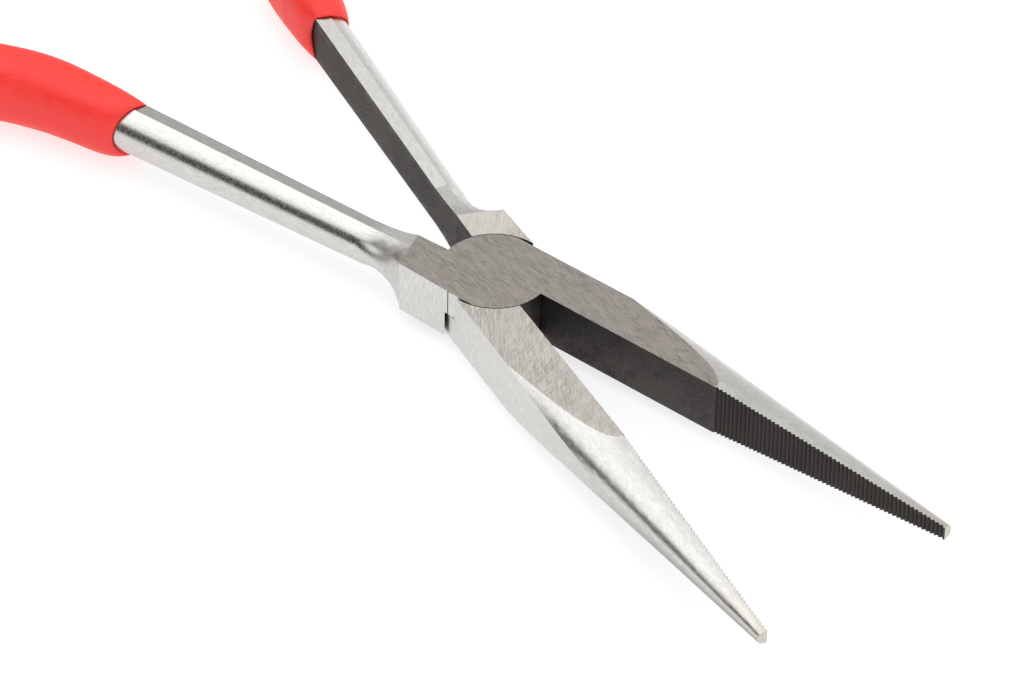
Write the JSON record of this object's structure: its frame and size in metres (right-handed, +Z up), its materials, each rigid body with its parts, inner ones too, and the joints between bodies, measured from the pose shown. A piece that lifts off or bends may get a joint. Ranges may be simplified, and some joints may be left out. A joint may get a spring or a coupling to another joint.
{
  "type": "long-nose pliers",
  "caption": "Long-reach needle-nose pliers with a lap joint, long serrated tapering jaws, slim shanks and soft red sleeves on bowed handles.",
  "frame": {"origin": "on the hinge axis, at the flat underside of the joint", "axes": "+X along the tool to the jaw tips, +Y to the lower half's handle, +Z up along the hinge axis"},
  "size_m": [0.2704, 0.132, 0.013],
  "materials": {
    "steel": "ground and polished outside, dark oxide on the inner faces",
    "vinyl": "matte soft vinyl"
  },
  "bodies": {
    "upper_half": {"upper_lap_half": "steel", "pivot_rivet": "steel", "upper_half_grip": "vinyl"},
    "lower_half": {"lower_lap_half": "steel", "lower_half_grip": "vinyl"}
  },
  "joints": [
    {"name": "jaw_hinge", "type": "hinge", "parent": "upper_half", "child": "lower_half", "pos_m": [0, 0, 0.0042], "axis": [0, 0, 1], "range_deg": [-16.5, 23.5]}
  ]
}
